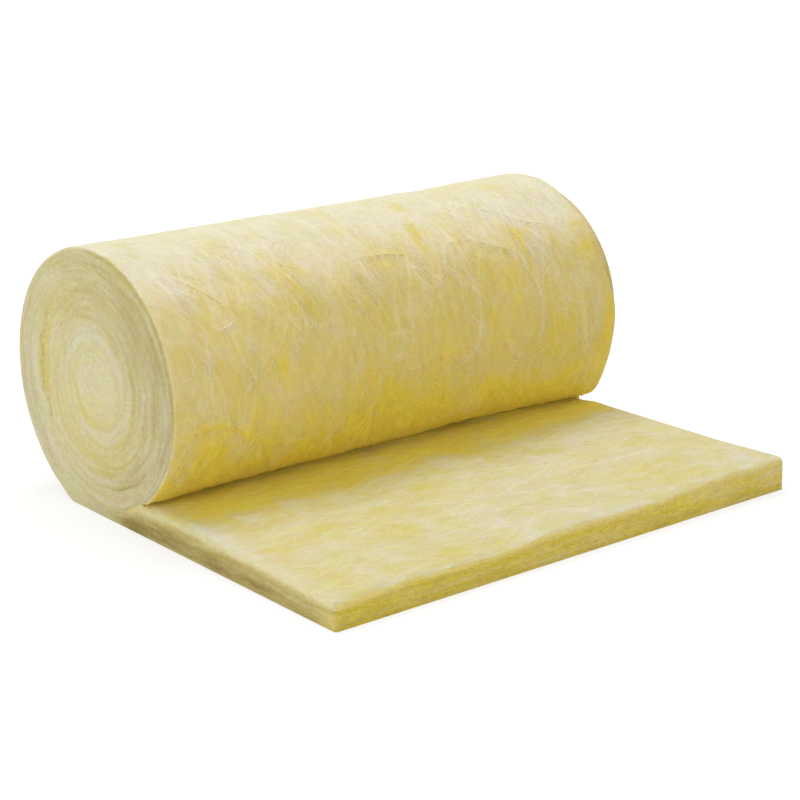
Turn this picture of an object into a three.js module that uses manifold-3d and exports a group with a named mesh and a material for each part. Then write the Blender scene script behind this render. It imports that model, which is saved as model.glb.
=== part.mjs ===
// A glass-wool insulation blanket: most of it wound into a roll, its free end laid out flat in front.
// Millimetres, +Z up. X runs along the laid-out blanket, Y across its width.
// The origin lies on the floor, under the middle of the whole part.

import * as THREE from 'three';
import { mergeVertices } from 'three/addons/utils/BufferGeometryUtils.js';
import Module from 'manifold-3d';

// Blanket
const blanketWidth = 1200;
const blanketThickness = 70; // lying free
const wrapThickness = 46; // one turn, pressed in the roll
const tuckThickness = 52; // under the line where the roll closes on the blanket
const leadLength = 822; // from the roll's axis to the cut front edge
const springBack = 200; // the run over which the pressed blanket regains its thickness
const edgeRound = 12; // the soft shoulder along both long edges
const frontRound = 16; // the softer shoulder along the cut front edge

// Roll
const rollRadius = 323; // where the outermost turn leaves the floor, before its weight spreads it
const coreRadius = 32; // where the blanket's inner end is tucked
const rollSpread = 0.056; // share of the radius that the weight takes off the top and adds in front
const rollLean = 0.0186; // share of the radius by which the roll leans over its laid-out end
const floorPress = 18.5; // how far the floor presses the lowest turn flat

// Seams between the turns, open at both ends of the roll
const seamWidth = 14;
const seamDepth = 11;
const seamShoulder = 0.3; // how far the rounded shoulders reach in: 0.5 is a plain V
const seamStepsPerTurn = 36;

// Waves across the laid-out blanket
const waveHeight = 3;
const waveLength = 400;
const stepsPerWave = 5;

const outlineStepsPerTurn = 90;
const shoulderSteps = 3;
const fullTurn = 2 * Math.PI;
const belowFloor = 2 * edgeRound;

// The winding: its angle starts under the axis and goes up the rear, over the top and down the front.
// Each turn lies one wrap further in, and the squeeze fades towards the core.
class Winding extends THREE.Curve {
  constructor(startAngle, endAngle, y) {
    super();
    this.startAngle = startAngle;
    this.endAngle = endAngle;
    this.y = y;
  }

  getPoint(t, target = new THREE.Vector3()) {
    const angle = this.startAngle + t * (this.endAngle - this.startAngle);
    const roundRadius = rollRadius - (wrapThickness * angle) / fullTurn;
    const squeeze = rollLean * Math.sin(2 * angle) - rollSpread * Math.cos(2 * angle);
    const radius = roundRadius * (1 + (roundRadius / rollRadius) * squeeze);
    return target.set(-radius * Math.sin(angle), this.y, -radius * Math.cos(angle));
  }

  // steps are even in angle, so the small inner turns stay round
  getUtoTmapping(u) {
    return u;
  }
}

const axisHeight = -new Winding(0, 0, 0).getPoint(0).z - floorPress;

function heightAt(angle) {
  return new Winding(angle, angle, 0).getPoint(0).z + axisHeight;
}

// The angle in the front quarter at which the outer turn comes down to the laid-out blanket.
function findTuckAngle() {
  let high = 0.75 * fullTurn;
  let low = fullTurn;
  for (let i = 0; i < 40; i++) {
    const middle = (high + low) / 2;
    if (heightAt(middle) > tuckThickness) {
      high = middle;
    } else {
      low = middle;
    }
  }
  return high;
}

const tuckAngle = findTuckAngle();

// The section across the blanket, with the roll's axis at x = 0. It reaches below the floor,
// so that the floor cuts its underside square while the other edges keep their soft shoulder.
function makeSection() {
  const outline = new Winding(0, tuckAngle, 0);
  const steps = Math.round((outlineStepsPerTurn * tuckAngle) / fullTurn);
  const points = outline.getPoints(steps).map((p) => new THREE.Vector2(p.x, p.z + axisHeight));
  const tuck = points[points.length - 1];
  const section = new THREE.Shape(points);
  section.quadraticCurveTo(
    tuck.x + springBack / 2,
    blanketThickness,
    tuck.x + springBack,
    blanketThickness,
  );
  section.lineTo(leadLength - frontRound, blanketThickness);
  section.absarc(leadLength - frontRound, blanketThickness - frontRound, frontRound, Math.PI / 2, 0, true);
  section.lineTo(leadLength, -belowFloor);
  section.lineTo(points[0].x, -belowFloor);
  section.closePath();
  return section;
}

const section = makeSection();
const rearReach = Math.min(...section.getPoints().map((p) => p.x));
const axisX = -(rearReach + leadLength) / 2;

// Raises and lowers the laid-out blanket's upper face in gentle waves that fade out at the roll.
function addWaves(geometry) {
  const tuckX = new Winding(tuckAngle, tuckAngle, 0).getPoint(0).x;
  const position = geometry.attributes.position;
  for (let i = 0; i < position.count; i++) {
    const x = position.getX(i);
    const z = position.getZ(i);
    const fade = THREE.MathUtils.smoothstep(x, tuckX, tuckX + springBack);
    const rise = THREE.MathUtils.smoothstep(z, 0, blanketThickness);
    const wave = Math.cos((fullTurn * position.getY(i)) / waveLength);
    const onBlanket = z <= blanketThickness + waveHeight ? 1 : 0;
    position.setZ(i, z + onBlanket * waveHeight * fade * rise * wave);
  }
  return geometry;
}

function makeBlanketBody() {
  const depth = blanketWidth - 2 * edgeRound;
  const geometry = new THREE.ExtrudeGeometry(section, {
    depth,
    steps: Math.round((stepsPerWave * blanketWidth) / waveLength),
    curveSegments: 8,
    bevelThickness: edgeRound,
    bevelSize: edgeRound,
    bevelOffset: -edgeRound,
    bevelSegments: shoulderSteps,
  });
  geometry.rotateX(Math.PI / 2);
  geometry.translate(0, depth / 2, 0);
  return addWaves(geometry);
}

function makeFloorBlock() {
  const length = 2 * (leadLength - rearReach);
  const geometry = new THREE.BoxGeometry(length, 2 * blanketWidth, 2 * belowFloor);
  geometry.translate(0, 0, -belowFloor);
  return geometry;
}

// A four-pointed star across the end face: its hollow sides leave rounded shoulders beside the seam.
function makeSeamSection() {
  const points = [];
  for (let i = 0; i < 8; i++) {
    const isTip = i % 2 === 0;
    const reach = isTip ? 1 : seamShoulder * Math.SQRT2;
    const turn = (i * fullTurn) / 8;
    points.push(new THREE.Vector2(reach * seamDepth * Math.cos(turn), (reach * seamWidth * Math.sin(turn)) / 2));
  }
  return new THREE.Shape(points);
}

// The seam runs from the tuck inwards to the core.
function makeSeam(y) {
  const coreAngle = (fullTurn * (rollRadius - coreRadius)) / wrapThickness;
  const path = new Winding(tuckAngle, coreAngle, y);
  const steps = Math.round((seamStepsPerTurn * (coreAngle - tuckAngle)) / fullTurn);
  const geometry = new THREE.ExtrudeGeometry(makeSeamSection(), { steps, extrudePath: path });
  geometry.translate(0, 0, axisHeight);
  return geometry;
}

const wasm = await Module();
wasm.setup();

function toSolid(geometry) {
  geometry.deleteAttribute('normal');
  geometry.deleteAttribute('uv');
  const merged = mergeVertices(geometry);
  const mesh = new wasm.Mesh({
    numProp: 3,
    vertProperties: merged.attributes.position.array,
    triVerts: new Uint32Array(merged.index.array),
  });
  return new wasm.Manifold(mesh);
}

function toGeometry(solid) {
  const mesh = solid.getMesh();
  const geometry = new THREE.BufferGeometry();
  geometry.setAttribute('position', new THREE.BufferAttribute(mesh.vertProperties, 3));
  geometry.setIndex(new THREE.BufferAttribute(mesh.triVerts, 1));
  return geometry;
}

function makeGlassWool() {
  return new THREE.MeshStandardMaterial({ color: 0xe6d88c, roughness: 0.95, metalness: 0 });
}

function makeBlanket() {
  const solid = toSolid(makeBlanketBody())
    .subtract(toSolid(makeFloorBlock()))
    .subtract(toSolid(makeSeam(-blanketWidth / 2)))
    .subtract(toSolid(makeSeam(blanketWidth / 2)));
  const geometry = toGeometry(solid);
  geometry.translate(axisX, 0, 0);
  const blanket = new THREE.Mesh(geometry, makeGlassWool());
  blanket.name = 'glass_wool_blanket';
  return blanket;
}

const insulationRoll = new THREE.Group();
insulationRoll.add(makeBlanket());

export default insulationRoll;
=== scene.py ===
import math
from functools import partial
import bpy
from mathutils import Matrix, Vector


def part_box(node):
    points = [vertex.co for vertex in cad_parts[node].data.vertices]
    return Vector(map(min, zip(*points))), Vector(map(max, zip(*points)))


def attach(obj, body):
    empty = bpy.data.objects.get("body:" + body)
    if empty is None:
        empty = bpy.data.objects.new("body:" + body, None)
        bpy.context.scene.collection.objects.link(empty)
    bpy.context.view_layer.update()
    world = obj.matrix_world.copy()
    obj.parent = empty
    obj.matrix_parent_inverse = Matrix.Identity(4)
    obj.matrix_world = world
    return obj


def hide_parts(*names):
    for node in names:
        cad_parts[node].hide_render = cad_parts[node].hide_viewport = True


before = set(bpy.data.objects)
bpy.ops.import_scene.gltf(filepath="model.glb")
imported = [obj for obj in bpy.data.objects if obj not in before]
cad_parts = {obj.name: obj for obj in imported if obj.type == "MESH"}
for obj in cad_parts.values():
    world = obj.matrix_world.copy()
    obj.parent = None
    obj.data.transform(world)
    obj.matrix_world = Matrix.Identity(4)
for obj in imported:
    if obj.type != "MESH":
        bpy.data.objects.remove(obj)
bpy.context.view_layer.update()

from types import SimpleNamespace

import bpy
import numpy as np
from mathutils import Matrix, Vector
from mathutils.bvhtree import BVHTree

cadLow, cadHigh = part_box("glass_wool_blanket")
fullTurn = 2 * math.pi
mm = 0.001
weldGap = 0.1 * mm  # points closer than this are one


# small helpers

def activate(piece):
    bpy.ops.object.select_all(action="DESELECT")
    piece.select_set(True)
    bpy.context.view_layer.objects.active = piece


def openMesh(piece, kind, select):
    activate(piece)
    bpy.ops.object.mode_set(mode="EDIT")
    bpy.ops.mesh.select_mode(type=kind)
    bpy.ops.mesh.select_all(action=select)


def closeMesh():
    bpy.ops.object.mode_set(mode="OBJECT")


def readMesh(items, name, width=3, kind=np.float32):
    # a vector or a number for each point, corner or face
    values = np.empty(len(items) * width, kind)
    items.foreach_get(name, values)
    return values.reshape(-1, width) if width > 1 else values


def pointsOf(piece):
    return readMesh(piece.data.vertices, "co").astype(float)


def movePoints(piece, points):
    piece.data.vertices.foreach_set("co", np.asarray(points, np.float32).ravel())
    piece.data.update()


def unroll(piece, unrolled):
    # the map unrolls the blanket: along its length, and down through its thickness, in metres
    corner = readMesh(piece.data.loops, "vertex_index", 1, np.int32)
    piece.data.uv_layers[0].name = "unrolled"
    piece.data.uv_layers[0].uv.foreach_set("vector", unrolled[corner].astype(np.float32).ravel())


def addNumbers(piece, name, values, dataType="FLOAT"):
    layer = piece.data.attributes.new(name, dataType, "POINT")
    layer.data.foreach_set("value", np.asarray(values, np.int32 if dataType == "INT" else np.float32))


def readNumbers(piece, name):
    layer = piece.data.attributes[name]
    return readMesh(layer.data, "value", 1, np.int32 if layer.data_type == "INT" else np.float32)


def blend(first, second, share):
    return first + (second - first) * share


def smoothStep(value, low, high):
    share = np.clip((value - low) / (high - low), 0, 1)
    return share * share * (3 - 2 * share)


def fadeOut(value, low, high):
    return 1 - smoothStep(value, low, high)


def hump(value, low, high, soft):
    # 1 between low and high, fading to 0 over soft outside them
    return smoothStep(value, low - soft, low) * fadeOut(value, high, high + soft)


def unitOf(vectors):
    return vectors / np.maximum(np.linalg.norm(vectors, axis=1), 1e-9)[:, None]


def reachOf(points):
    # distance from the first point, measured along the line
    return np.concatenate([[0], np.cumsum(np.linalg.norm(np.diff(points, axis=0), axis=1))])


def evenOut(line):
    line[1:-1] = (line[:-2] + 2 * line[1:-1] + line[2:]) / 4


def swell(points, layers, waves=40):
    # a smooth random height. Each layer has a height, the length of its swells along each axis
    # and a seed
    total = 0
    for height, lengths, seed in layers:
        rng = np.random.default_rng(seed)
        spots = np.asarray(points, float).reshape(-1, len(lengths))
        level = np.zeros(len(spots))
        for _ in range(waves):
            direction = rng.normal(size=len(lengths))
            direction /= np.linalg.norm(direction)
            wave = fullTurn * rng.uniform(0.6, 1.5) * direction / np.array(lengths)
            level += np.cos(spots @ wave + rng.uniform(0, fullTurn))
        total = total + height * math.sqrt(0.5 / waves) * level
    return total


# the wound blanket's section, the same curve as the CAD part's, in metres

blanket = {
    "width": cadHigh.y - cadLow.y,
    "thickness": 0.070,  # lying free
    "wrap": 0.046,  # one turn, pressed in the roll
    "tuckThickness": 0.052,  # under the line where the roll closes on the blanket
    "leadLength": 0.822,  # from the roll's axis to the cut front edge
    "springBack": 0.200,
    "rollRadius": 0.323,
    "coreRadius": 0.004,  # where its inner end is pinched shut
    "spread": 0.056,
    "lean": 0.0186,
    "floorPress": 0.0185,
    "waveHeight": 0.003,
    "waveLength": 0.400,
    # steps of the mesh: round the roll, along the laid-out part, across, and near the edges
    "stepsPerTurn": 240,
    "leadStep": 0.008,
    "acrossStep": 0.0062,
    "frontSteps": (0, 0.004, 0.009, 0.015, 0.022, 0.030),
    "endSteps": (0, 0.0025, 0.0055, 0.009, 0.013),
    # rows of the mesh through the blanket's thickness, closer near the seams
    "rows": (0, 0.04, 0.12, 0.25, 0.42, 0.58, 0.75, 0.88, 0.96, 1),
}
axisX = cadHigh.x - blanket["leadLength"]
axisHeight = blanket["rollRadius"] * (1 - blanket["spread"]) - blanket["floorPress"]
rollLength = fullTurn * blanket["rollRadius"]
rows = np.array(blanket["rows"])


def winding(angle):
    # the angle starts under the axis and goes up the rear, over the top, down the front
    roundRadius = blanket["rollRadius"] - blanket["wrap"] * angle / fullTurn
    roundRadius = np.maximum(roundRadius, 0)
    squeeze = blanket["lean"] * np.sin(2 * angle) - blanket["spread"] * np.cos(2 * angle)
    radius = roundRadius * (1 + roundRadius / blanket["rollRadius"] * squeeze)
    return axisX - radius * np.sin(angle), axisHeight - radius * np.cos(angle)


def findTuckStep(turn):
    # the step in the last quarter turn at which the roll comes down to the laid-out part
    wanted = np.linspace(0.75 * fullTurn, fullTurn, 2000)
    height = winding(wanted)[1]
    return round(float(wanted[np.argmin(abs(height - blanket["tuckThickness"]))]) / turn)


def findColumns():
    # one column for each step along the blanket, from its cut front edge to its end in the core
    turn = fullTurn / blanket["stepsPerTurn"]
    tuckStep = findTuckStep(turn)
    tuckX, tuckZ = winding(np.array([tuckStep * turn]))

    nearFront = cadHigh.x - np.array(blanket["frontSteps"])
    evenFrom = nearFront[-1] - blanket["leadStep"]
    freeCount = round((evenFrom - float(tuckX[0])) / blanket["leadStep"])
    freeX = np.concatenate([nearFront, np.linspace(evenFrom, tuckX[0], freeCount + 1)[:-1]])
    rise = 1 - np.clip((freeX - tuckX) / blanket["springBack"], 0, 1)
    freeZ = blanket["thickness"] - rise ** 2 * (blanket["thickness"] - tuckZ)

    tuckedAngle = np.arange(tuckStep, blanket["stepsPerTurn"]) * turn
    tuckedX, tuckedZ = winding(tuckedAngle)

    lastStep = math.ceil(blanket["rollRadius"] / blanket["wrap"] * blanket["stepsPerTurn"])
    angle = np.arange(lastStep + 1) * turn
    outerX, outerZ = winding(angle)
    innerX, innerZ = winding(angle + fullTurn)

    outer = np.column_stack([np.concatenate([freeX, tuckedX, outerX]),
                             np.concatenate([0 * freeX, 0 * tuckedX, np.maximum(outerZ, 0)])])
    inner = np.column_stack([np.concatenate([freeX, tuckedX, innerX]),
                             np.concatenate([freeZ, tuckedZ, innerZ])])
    middle = (outer + inner) / 2
    return SimpleNamespace(
        outer=outer, inner=inner, thick=np.linalg.norm(inner - outer, axis=1), along=reachOf(middle),
        angle=np.concatenate([np.zeros(len(freeX)), tuckedAngle - fullTurn, angle]),
        free=len(freeX), firstTurn=len(freeX) + len(tuckedAngle),
        tuckStep=tuckStep, tuckX=float(tuckX[0]))


columns = findColumns()


def sameSpot(column, row):
    # where two turns touch, the inner turn's name for the shared point
    column, row = column.copy(), row.copy()
    steps = blanket["stepsPerTurn"]
    last = len(columns.along) - 1
    inside = row == len(rows) - 1
    tucked = inside & (column >= columns.free) & (column < columns.firstTurn)
    wound = inside & (column >= columns.firstTurn) & (column + steps <= last)
    column[tucked] += columns.firstTurn + columns.tuckStep - columns.free
    column[wound] += steps
    row[tucked | wound] = 0
    return column, row


def makeEndFace():
    # the blanket's long edge, a flat strip wound up to make the roll's end
    count = len(columns.along) - 1
    bpy.ops.object.select_all(action="DESELECT")
    bpy.ops.mesh.primitive_grid_add(x_subdivisions=count, y_subdivisions=len(rows) - 1, size=1)
    face = bpy.context.active_object
    flat = pointsOf(face)
    column = np.rint((flat[:, 0] + 0.5) * count).astype(int)
    row = np.rint((flat[:, 1] + 0.5) * (len(rows) - 1)).astype(int)
    depth = rows[row][:, None]
    section = columns.outer[column] * (1 - depth) + columns.inner[column] * depth
    core = np.hypot(section[:, 0] - axisX, section[:, 1] - axisHeight) < blanket["coreRadius"]
    section[core] = axisX, axisHeight
    spotColumn, spotRow = sameSpot(column, row)
    spotColumn[core], spotRow[core] = count, 0
    addNumbers(face, "column", spotColumn, "INT")
    addNumbers(face, "row", spotRow, "INT")
    thick = np.where(column < columns.firstTurn, blanket["thickness"], blanket["wrap"])
    unroll(face, np.column_stack([columns.along[column], depth[:, 0] * thick]))
    atEnd = np.full(len(section), cadLow.y)
    movePoints(face, np.column_stack([section[:, 0], atEnd, section[:, 1]]))
    openMesh(face, "VERT", "SELECT")
    bpy.ops.mesh.remove_doubles(threshold=weldGap)
    closeMesh()
    return face


def findStations():
    # distances from one end to the other: close together on the soft shoulders
    near = np.array(blanket["endSteps"])
    span = blanket["width"] - 2 * near[-1]
    middle = near[-1] + np.linspace(0, span, round(span / blanket["acrossStep"]) + 1)
    return np.concatenate([near[:-1], middle, blanket["width"] - near[-2::-1]])


def makeBlanketShell():
    face = makeEndFace()
    activate(face)
    bpy.ops.object.duplicate()
    farFace = bpy.context.active_object
    movePoints(farFace, pointsOf(farFace) + [0, blanket["width"], 0])

    openMesh(face, "EDGE", "SELECT")
    bpy.ops.mesh.region_to_loop()
    for step in np.diff(findStations()):
        bpy.ops.mesh.extrude_region_move(TRANSFORM_OT_translate={"value": (0, float(step), 0)})
    closeMesh()

    farFace.select_set(True)
    bpy.ops.object.join()
    openMesh(face, "VERT", "SELECT")
    bpy.ops.mesh.remove_doubles(threshold=weldGap)
    bpy.ops.mesh.normals_make_consistent(inside=False)
    bpy.ops.mesh.select_all(action="DESELECT")
    closeMesh()

    # the underside lies flat on the floor, so one face will do
    height = readMesh(face.data.polygons, "center")[:, 2]
    face.data.polygons.foreach_set("select", height < 1e-6)
    bpy.ops.object.mode_set(mode="EDIT")
    bpy.ops.mesh.select_mode(type="FACE")
    bpy.ops.mesh.dissolve_faces()
    closeMesh()
    face.name = face.data.name = "blanket"
    return face


shell = makeBlanketShell()
print("blanket shell:", len(shell.data.vertices), "points,", len(shell.data.polygons), "faces")


# folds and lifted edges in the open face of the roll, listed one by one: height and half width in mm,
# how golden, the width in mm of the loose bundle on it, then a path of points, each a share of a
# turn and a place across in mm

foldRows = (
    (2.6, 11, -0.22, 0, (0.591, -526), (0.618, -516), (0.653, -506)),
    (1.9, 6, 0.04, 3.2, (0.605, -506), (0.627, -462), (0.64, -438), (0.66, -428)),
    (1.9, 6, -0.16, 4.2, (0.67, -466), (0.67, -440), (0.664, -422)),
    (-1.5, 6, 0.06, 0, (0.554, -379), (0.592, -389), (0.623, -391)),
    (2.6, 9, 0.2, 3, (0.563, -301), (0.612, -278), (0.652, -238), (0.685, -226)),
    (2.2, 9, -0.08, 2.6, (0.571, -280), (0.615, -251), (0.651, -222)),
    (2.2, 9, 0.16, 2.6, (0.61, -296), (0.644, -271), (0.688, -271)),
    (1, 6, -0.1, 2.2, (0.663, -273), (0.69, -232), (0.686, -178)),
    (2.9, 11, -0.19, 2.6, (0.561, -40), (0.611, -65), (0.652, -73), (0.689, -70)),
    (1.4, 9, -0.19, 2, (0.662, -500), (0.705, -506), (0.74, -513)),
    (1, 6, -0.13, 2, (0.716, -388), (0.737, -422), (0.754, -447)),
    (2, 8, 0.28, 2.4, (0.787, -589), (0.77, -550), (0.766, -500), (0.78, -440), (0.802, -402),
                      (0.817, -324), (0.827, -215)),
    (1.4, 6, 0.05, 2.4, (0.815, -166), (0.793, -82)),
    (3, 9, 0.04, 3.4, (0.621, -60), (0.619, -27), (0.62, 4), (0.626, 60)),
    (1.9, 7, -0.13, 2.4, (0.627, 48), (0.656, 59), (0.679, 67)),
    (1.5, 7, -0.19, 2.2, (0.677, 74), (0.658, 136), (0.626, 153), (0.616, 200), (0.623, 243)),
    (3, 10, -0.04, 3, (0.622, 243), (0.633, 283), (0.647, 343)),
    (1.9, 8, -0.19, 2.4, (0.646, 344), (0.659, 360), (0.679, 357)),
    (1.7, 8, -0.14, 2.4, (0.645, 176), (0.673, 196), (0.7, 203), (0.736, 192), (0.762, 168),
                         (0.766, 100)),
    (1.4, 7, -0.13, 2.2, (0.717, 245), (0.747, 258), (0.77, 298), (0.778, 337)),
    (-1.4, 6, 0.38, 0, (0.61, 377), (0.642, 379), (0.668, 370), (0.697, 354), (0.726, 343), (0.761, 337)),
    (1, 6, -0.1, 2.2, (0.713, -60), (0.715, 9)),
    (1, 6, -0.1, 2.4, (0.755, -23), (0.757, 12), (0.751, 34)),
    (1, 6, -0.1, 2.2, (0.767, -97), (0.75, -61)),
    (1.5, 7, -0.13, 2.6, (0.824, 468), (0.819, 533)),
    (2.2, 10, -0.16, 4.4, (0.892, 585), (0.867, 592), (0.825, 585)),
    (2.6, 10, -0.04, 2.6, (0.57, 321), (0.592, 372), (0.613, 439), (0.617, 495)),
    (1.2, 6, 0.02, 2.4, (0.844, 230), (0.818, 244), (0.806, 264)),
    (1.2, 6, 0.02, 2.4, (0.851, 323), (0.83, 363)),
    (0.8, 12, 0.42, 0, (0.562, 139), (0.605, 111), (0.636, 105)),
    (0.8, 13, 0.42, 0, (0.757, -50), (0.78, -66), (0.833, -39)),
    (1.4, 9, -0.11, 0, (0.677, 392), (0.742, 368), (0.793, 382)),
    (1.4, 8, -0.13, 2, (0.706, 502), (0.754, 501), (0.793, 505)),
    (1.2, 9, -0.11, 0, (0.709, 538), (0.769, 547)),
)
folds = [SimpleNamespace(height=height * mm, halfWidth=halfWidth * mm, gold=gold, bundle=bundle * mm,
                         path=[(turn * rollLength, across * mm) for turn, across in path])
         for height, halfWidth, gold, bundle, *path in foldRows]
foldSteps = 24


def smoothPath(points, count):
    points = np.array(points, float)
    reach = reachOf(points)
    even = np.linspace(0, reach[-1], count)
    path = np.column_stack([np.interp(even, reach, axis) for axis in points.T])
    for _ in range(count // 4):
        evenOut(path)
    return path


def alongFolds(unrolled, amountOf, widen=1.0, beside=0.0, reach=None):
    # the folds' amounts, each full on its fold's path and fading to 0 beside it and towards its
    # ends. The path can lie beside the fold, by a share of the fold's half width
    total = np.zeros(len(unrolled))
    for fold in folds:
        path = smoothPath(np.array(fold.path) + (beside * fold.halfWidth, 0), foldSteps)
        gap = np.linalg.norm(unrolled[:, None, :] - path[None, :, :], axis=2)
        nearest = np.argmin(gap, axis=1)
        away = gap[np.arange(len(gap)), nearest] / (reach or widen * fold.halfWidth)
        taper = np.sin(math.pi * (nearest + 0.5) / foldSteps) ** 0.5
        total += amountOf(fold) * taper * np.exp(-away ** 2)
    return total


# relief: soft edges, seams, slipped turns, folds, all laid over the wound shell

relief = {
    # swells: height, length along each axis and seed
    "sheetSwell": ((0.0012, (0.16, 0.13), 21), (0.0006, (0.05, 0.07), 22)),
    "frontSwell": ((0.0016, (0.11,), 23),),
    "frontLayers": ((0.0012, (0.14, 0.018), 26),),
    "creaseWander": ((0.008, (0.30,), 24), (0.0024, (0.06,), 25), (0.00128, (0.025,), 27)),
    "rollSwell": ((0.0012, (0.34, 0.30), 31), (0.0008, (0.10, 0.075), 32)),
    "pleats": ((0.0026, (0.20, 0.028), 33),),
    "finePleats": ((0.0013, (0.07, 0.024), 34),),
    "endSwell": ((0.0013, (0.13, 0.13), 14), (0.000585, (0.03, 0.03), 15)),
    "slip": ((0.0014, (0.9,), 11),),  # how the turns stand in and out of line at the ends
    "farSlip": ((0.0014, (0.8,), 12),),
    "seamVary": ((0.7, (0.16,), 13),),  # as a share of the seams' depth
    "seamSway": ((0.0014, (0.09,), 16),),
    "raggedSway": ((0.006, (0.075,), 17), (0.0036, (0.028,), 18)),
    # both ends of the roll
    "seamDepth": 0.0018,
    "seamWidth": 0.0055,
    "coreFade": (0.045, 0.090),  # the seams close up towards the middle
    "step": 0.0046,  # the inner turns sit this much deeper on the rear side
    "stepTurns": (0.19, 0.40),  # share of a turn, from under the axis up the rear
    "lip": 0.009,  # over which the outer one is rounded off
    "openSeam": (1.86, 1.945, 0.02),  # in turns: where the seam gapes low on the front side
    "openSeamDepth": 0.003,
    # the roll's open face
    "pleatSlant": 0.48,  # how far the near pleats stray across, for each metre along
    "foldHeight": 1.3,  # of what the folds' rows say
    "foldHollow": 0.4,  # beside a fold, of its height
    "rollLoft": 0.0035,
    "rollShoulder": 0.0065,
    # where the roll closes on the blanket: up and forward, how far round
    "nip": (0.0130, 0.0130, 0.055),
    "nipNear": 0.45,  # how much of that there is at the near end
    "nipLip": (0.0102, 0.0150, 0.024),  # the lip pressed up against the roll
    "nipBelly": (0.0045, 0.010),  # how the roll bulges just above it, and how far round
    "creaseReach": 0.045,
    # the laid-out part
    "sheetShoulder": 0.022,
    "frontShoulder": (0.026, 0.012),  # at the near corner and at the far one
    "cornerRadius": (0.006, 0.012),  # of its upright corners, and how much softer the near one is
    "frontDrop": (0.0115, 0.22),  # thinner at the near front corner, and how far round
    "farLoft": 0.0065,  # and thicker along the far edge
    # the far end of the roll
    "farBulge": (0.024, 0.014, 0.12),  # it sags forward and outward, and how far round
    "farPressIn": 0.0115,  # above that its edge is pressed in
    "farTop": 0.005,  # and its top stands out
}


def factsOf(piece):
    # what each point of the shell belongs to, read before anything moves
    column, row = readNumbers(piece, "column"), readNumbers(piece, "row")
    x, y, z = pointsOf(piece).T
    turns = columns.angle[column] / fullTurn
    isWound = column >= columns.firstTurn
    section = columns.inner[column] - columns.outer[column]
    fromEnd = np.where(y < 0, y - cadLow.y, cadHigh.y - y)
    thick = np.maximum(columns.thick[column], 0.002)
    return SimpleNamespace(
        x=x, y=y, z=z, column=column, row=row, turns=turns, part=turns % 1, isWound=isWound,
        normal=readMesh(piece.data.vertex_normals, "vector").astype(float),
        along=columns.along[column], section=unitOf(section),
        fromOuter=rows[row] * thick, fromTop=(1 - rows[row]) * thick,
        isSheet=column < columns.free, onFront=column == 0,
        # the turn of the roll whose outer face is open to the air
        isOuterTurn=isWound & (turns < columns.tuckStep / blanket["stepsPerTurn"]),
        fromEnd=fromEnd, onEnd=fromEnd < 1e-5, inward=np.where(y < 0, 1.0, -1.0),
        fromTuck=x - columns.tuckX, fromFront=cadHigh.x - x,
        unrolled=np.column_stack([turns * rollLength, y]))


def liftNip(facts, place):
    # the laid-out part springs back at once where the roll closes on it
    z, isWound = facts.z, facts.isWound
    top = columns.inner[facts.column][:, 1]
    pressed = (blanket["thickness"] - top) / (blanket["thickness"] - blanket["tuckThickness"])
    raised = np.where(isWound, 1, z / np.maximum(top, 0.01))
    away = np.hypot(facts.fromTuck, z - blanket["tuckThickness"])
    lift, forward, reach = relief["nip"]
    near = np.exp(-(away / reach) ** 2)
    share = raised * blend(relief["nipNear"], 1, smoothStep(facts.y, -0.6, -0.1))
    place[:, 0] += forward * near * share
    place[:, 2] += lift * np.where(facts.isSheet, np.clip(pressed, 0, 1) ** 0.8, near) * share
    lift, forward, reach = relief["nipLip"]
    share = raised * np.exp(-away / reach)
    place[:, 0] += forward * share
    place[:, 2] += lift * share
    bulge, reach = relief["nipBelly"]
    place[:, 2] += bulge * isWound * away / reach * np.exp(1 - away / reach)


def shapeSheet(facts, place):
    # waves, swells, a thinner near corner, a thicker far edge and a wandering crease
    y, z, fromTuck = facts.y, facts.z, facts.fromTuck
    rise = blanket["waveHeight"] * np.cos(fullTurn * y / blanket["waveLength"])
    rise += swell(y, relief["frontSwell"]) * fadeOut(facts.fromFront, 0, 0.05)
    rise *= smoothStep(fromTuck, 0, blanket["springBack"])
    uneven = swell(np.column_stack([facts.x, y]), relief["sheetSwell"])
    rise += uneven * smoothStep(fromTuck, 0, 0.04) * blend(0.2, 1, smoothStep(facts.fromEnd, 0.01, 0.12))
    drop, reach = relief["frontDrop"]
    fade = 1 - 0.45 * smoothStep(y, -0.3, 0) - 0.45 * smoothStep(y, 0.15, 0.55)
    rise -= drop * fade * np.exp(-(facts.fromFront / reach) ** 2)
    rise += relief["farLoft"] * smoothStep(y, 0.38, 0.6) * smoothStep(fromTuck, 0.02, 0.12)
    place[:, 2] += ~facts.isWound * smoothStep(z, 0, blanket["thickness"]) * rise

    away = np.hypot(fromTuck, (z - blanket["tuckThickness"]) * 0.8)
    isLoose = (z > 0.004) * (~facts.onEnd | (rows[facts.row] < 0.5) | facts.isSheet)
    nearTuck = np.exp(-(away / relief["creaseReach"]) ** 2)
    place[:, 0] += swell(y, relief["creaseWander"]) * nearTuck * isLoose
    layers = swell(np.column_stack([y, z]), relief["frontLayers"])
    place[:, 0] += facts.onFront * layers * smoothStep(z, 0, 0.01)


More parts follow.
